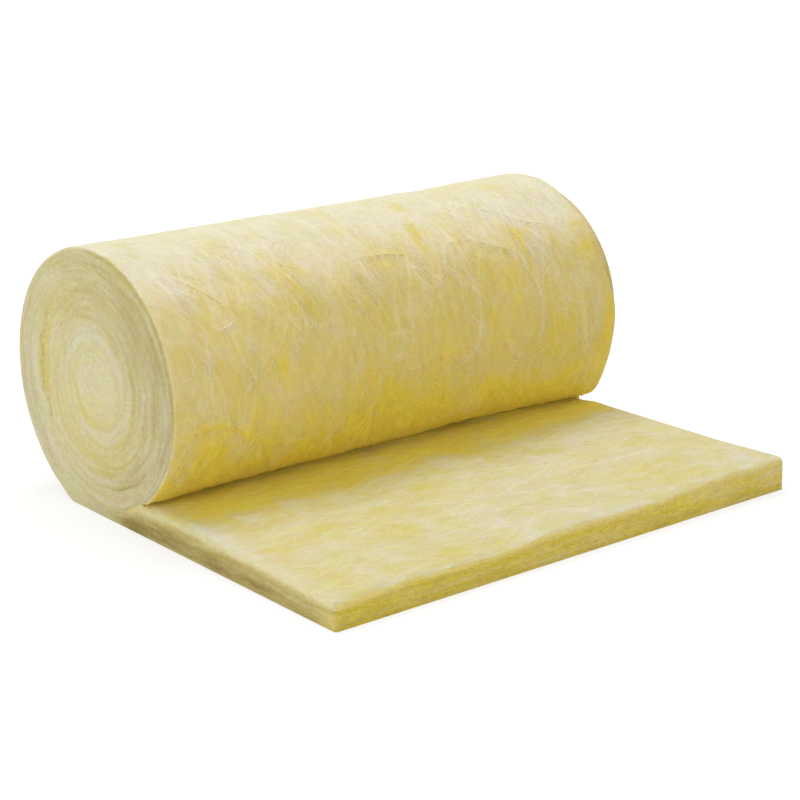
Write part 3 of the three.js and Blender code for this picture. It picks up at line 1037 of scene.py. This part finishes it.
bundles = {
    "sides": 5,
    "steps": 15,
    "scattered": 420,
    "length": (0.030, 0.130),
    "width": (0.0020, 0.0045),
    "onFoldWidth": 1.5,  # of what the folds' rows say
    "height": 0.40,  # of the width
    "buried": 0.58,  # of the height
    "bow": 0.24,  # how much a bundle curves, of its length
    "onRoll": 0.72,  # share of them that lie on the roll
    "heading": math.radians(12),
    "spread": math.radians(38),
    "ahead": (0.03, 0.60),  # where they start: in front of the crease, and
    "part": (0.10, 0.80),  # on the roll, as a share of a turn
    "across": (-0.56, 0.56),
    "gold": (-0.26, 0.08),  # added to the blanket's own
    "contrast": 0.3,
    "denseAndShade": -0.054,  # painted highlight: the raised bundles are painted lighter than the wool under them
    "reachOut": 0.02,  # farther out than any fold stands
}


def bundlePaths():
    # each one's path in metres: unrolled along the roll or ahead of its crease, and across,
    # then whether it lies on the sheet, its width and how golden it is
    rng = np.random.default_rng(41)
    found = []
    for fold in folds:
        if fold.bundle:
            path = smoothPath(fold.path, bundles["steps"])
            found.append((path, False, bundles["onFoldWidth"] * fold.bundle, 0.9 * fold.gold - 0.02))
    share = np.linspace(0, 1, bundles["steps"])
    for _ in range(bundles["scattered"]):
        onSheet = rng.uniform() > bundles["onRoll"]
        length = rng.uniform(*bundles["length"]) * rng.uniform(0.4, 1)
        heading = bundles["heading"] + rng.normal(0, bundles["spread"]) + onSheet * math.pi / 2
        bow = rng.normal(0, bundles["bow"]) * 4 * share * (1 - share)
        startAlong = rng.uniform(*bundles["ahead" if onSheet else "part"])
        startAlong *= 1 if onSheet else rollLength
        startAcross = rng.uniform(*bundles["across"])
        along = length * (share * math.cos(heading) - bow * math.sin(heading)) + startAlong
        across = length * (share * math.sin(heading) + bow * math.cos(heading)) + startAcross
        limits = (0.02, 0.66) if onSheet else (0.08 * rollLength, 0.9 * rollLength)
        path = np.column_stack([np.clip(along, *limits), np.clip(across, -0.592, 0.592)])
        found.append((path, onSheet, rng.uniform(*bundles["width"]), rng.uniform(*bundles["gold"])))
    return found


def makeBundleTemplate():
    # a slim prism along X, cut into short steps
    bpy.ops.object.select_all(action="DESELECT")
    bpy.ops.mesh.primitive_cylinder_add(vertices=bundles["sides"], radius=0.5, depth=1,
                                        rotation=(0, math.pi / 2, 0))
    bundle = bpy.context.active_object
    bpy.ops.object.transform_apply(location=True, rotation=True, scale=True)
    openMesh(bundle, "EDGE", "DESELECT")
    closeMesh()
    for edge in bundle.data.edges:
        first, second = (bundle.data.vertices[i].co.x for i in edge.vertices)
        edge.select = abs(first - second) > 0.5
    bpy.ops.object.mode_set(mode="EDIT")
    bpy.ops.mesh.subdivide(number_cuts=bundles["steps"] - 2)
    closeMesh()
    return bundle


def layBundle(path, onSheet, surface, faceStart):
    # the path's points on the blanket, the way up at each, and the blanket's nearest point
    if onSheet:
        thick = np.full(len(path), blanket["thickness"])
        ideal = np.column_stack([columns.tuckX + path[:, 0], path[:, 1], thick])
        out = np.tile([0.0, 0.0, 1.0], (len(path), 1))
    else:
        x, z = winding(path[:, 0] / blanket["rollRadius"])
        ideal = np.column_stack([x, path[:, 1], z])
        out = unitOf(np.column_stack([x - axisX, 0 * x, z - axisHeight]))
    hits = []
    for point, way in zip(ideal, out):
        hit = surface.ray_cast(Vector(point + bundles["reachOut"] * way), Vector(-way))
        hits.append(hit if hit[0] else surface.find_nearest(Vector(point)))
    rest = np.array([hit[0] for hit in hits])
    up = np.array([hit[1] for hit in hits])
    evenOut(rest)
    evenOut(up)
    return rest, unitOf(up), faceStart[[hit[2] for hit in hits]]


def makeBundles():
    bundle = makeBundleTemplate()
    one = pointsOf(bundle)
    paths = bundlePaths()
    copies = bundle.modifiers.new("copies", "ARRAY")
    copies.count = len(paths)
    copies.use_relative_offset = False
    copies.use_constant_offset = True
    copies.constant_offset_displace = (2, 0, 0)
    bpy.ops.object.modifier_apply(modifier=copies.name)

    # bend each copy to its own path, thin at its ends
    faces = [tuple(face.vertices) for face in shell.data.polygons]
    surface = BVHTree.FromPolygons([tuple(point) for point in pointsOf(shell)], faces)
    # the underside is one large face, whose first corner isn't the same one each time
    faceStart = np.array([face[0] if len(face) == 4 else min(face) for face in faces])
    goldHere = readNumbers(shell, "gold")
    share = np.linspace(0, 1, bundles["steps"])
    taper = np.sin(math.pi * np.clip(share, 0.03, 0.97)) ** 0.7
    step = np.rint((one[:, 0] + 0.5) * (bundles["steps"] - 1)).astype(int)
    points, golds, unrolled = [], [], []
    for path, onSheet, width, gold in paths:
        rest, up, nearest = layBundle(path, onSheet, surface, faceStart)
        aside = np.cross(up, unitOf(np.gradient(rest, axis=0)))
        thin = width * taper[step]
        lift = (one[:, 2] + 0.5 - bundles["buried"]) * bundles["height"] * thin
        points.append(rest[step] + aside[step] * (one[:, 1] * thin)[:, None] + up[step] * lift[:, None])
        golds.append(goldHere[nearest][step] + gold)
        unrolled.append(columns.along[facts.column[nearest]][step])
    movePoints(bundle, np.concatenate(points))
    bundle.name = bundle.data.name = "looseBundles"

    # they carry the blanket's own tone at the place where they lie, and are painted lighter than it as a
    # painted highlight
    count = len(bundle.data.vertices)
    addNumbers(bundle, "gold", np.concatenate(golds))
    for name in ("contrast", "denseAndShade"):
        addNumbers(bundle, name, np.full(count, bundles[name]))
    unroll(bundle, np.column_stack([np.concatenate(unrolled), np.zeros(count)]))
    openMesh(bundle, "FACE", "SELECT")
    bpy.ops.mesh.normals_make_consistent(inside=False)
    closeMesh()
    bpy.ops.object.shade_smooth()
    return bundle


looseBundles = makeBundles()
dress(looseBundles, glassWool)
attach(looseBundles, "root")
print("loose bundles:", len(looseBundles.data.polygons), "faces")


# stage: pale floor, soft light from above, camera

stage = {
    "floorSize": 40.0,
    "floorColour": "#f2f2f0",
    "seenFloor": (0.42, 0.42, 0.42, 1),  # what takes the shadow that the camera sees
    "glow": (0.66, 1.0),  # what lifts it to white, near the part and farther off
    "glowReach": (0.9, 5.0),
    "sky": (0.89, 0.675),  # strength at the horizon and overhead
    # place, size and power
    "lamps": {"softbox": ((-0.95, 0.1, 3.2), 1.6, 32.8), "fillPanel": ((0.9, -4.3, 1.7), 2.5, 23.5)},
    "lampsAim": (0, 0, 0.2),
}


def addSeen(add):
    # 1 for what the camera sees, straight on, in a mirror or through glass
    path = add("LightPath").outputs
    seen = path["Is Camera Ray"]
    for other in ("Is Glossy Ray", "Is Transmission Ray"):
        seen = add("Math", {0: seen, 1: path[other]}, operation="MAXIMUM").outputs[0]
    return seen


def makeFloor():
    bpy.ops.object.select_all(action="DESELECT")
    bpy.ops.mesh.primitive_plane_add(size=stage["floorSize"], location=(0, 0, 0))
    floor = bpy.context.active_object
    floor.name = "floor"
    bpy.ops.object.transform_apply(location=True, rotation=True, scale=True)
    # matt floor paint: white to the camera but for the shadow, pale to the light that bounces
    material = bpy.data.materials.new("paleFloorPaint")
    add = emptyTree(material)
    paint = add("BsdfDiffuse", {"Color": linear(stage["floorColour"])})
    dim = add("BsdfDiffuse", {"Color": stage["seenFloor"]})
    away = add("VectorMath", {0: add("TexCoord").outputs["Object"]}, operation="LENGTH").outputs["Value"]
    (near, far), (nearGlow, farGlow) = stage["glowReach"], stage["glow"]
    brighter = add("MapRange", {0: away, 1: near, 2: far, 3: nearGlow, 4: farGlow})
    glow = add("Emission", {"Color": (1, 1, 1, 1), "Strength": brighter})
    lit = add("AddShader", {0: dim, 1: glow})
    add("OutputMaterial", {"Surface": add("MixShader", {0: addSeen(add), 1: paint, 2: lit})})
    floor.data.materials.append(material)


def makeSky():
    world = bpy.data.worlds.new("studio")
    add = emptyTree(world)
    height = add("SeparateXYZ", {0: add("TexCoord").outputs["Generated"]}).outputs[2]
    horizon, overhead = stage["sky"]
    brightness = add("MapRange", {0: height, 1: 0.0, 2: 1.0, 3: horizon, 4: overhead})
    sky = add("Background", {"Color": (1, 1, 1, 1), "Strength": brightness})
    white = add("Background", {"Color": (1, 1, 1, 1), "Strength": 1.0})
    add("OutputWorld", {"Surface": add("MixShader", {0: addSeen(add), 1: sky, 2: white})})
    bpy.context.scene.world = world


def addLamps():
    for name, (place, size, power) in stage["lamps"].items():
        bpy.ops.object.light_add(type="AREA", location=place)
        lamp = bpy.context.active_object
        lamp.name = name
        lamp.data.shape = "DISK"
        lamp.data.size = size
        lamp.data.energy = power
        towards = Vector(stage["lampsAim"]) - lamp.location
        lamp.rotation_euler = towards.to_track_quat("-Z", "Y").to_euler()


view = {
    "at": (3.2613, -2.550, 1.4147),
    "turn": -0.6651,
    "rise": 0.2874,
    "roll": -0.0181,
    "lens": 89.72,
    "sensor": 36.0,
}


def addCamera():
    turned = Matrix.Rotation(view["turn"] + math.pi / 2, 4, "Z")
    risen = Matrix.Rotation(math.pi / 2 - view["rise"], 4, "X")
    rolled = Matrix.Rotation(view["roll"], 4, "Z")
    bpy.ops.object.camera_add()
    camera = bpy.context.active_object
    camera.matrix_world = Matrix.Translation(view["at"]) @ turned @ risen @ rolled
    camera.data.lens = view["lens"]
    camera.data.sensor_width = view["sensor"]
    camera.data.clip_end = 200
    bpy.context.scene.camera = camera


makeFloor()
makeSky()
addLamps()
addCamera()
bpy.context.scene.view_settings.view_transform = "Standard"
print("stage, light and camera set")
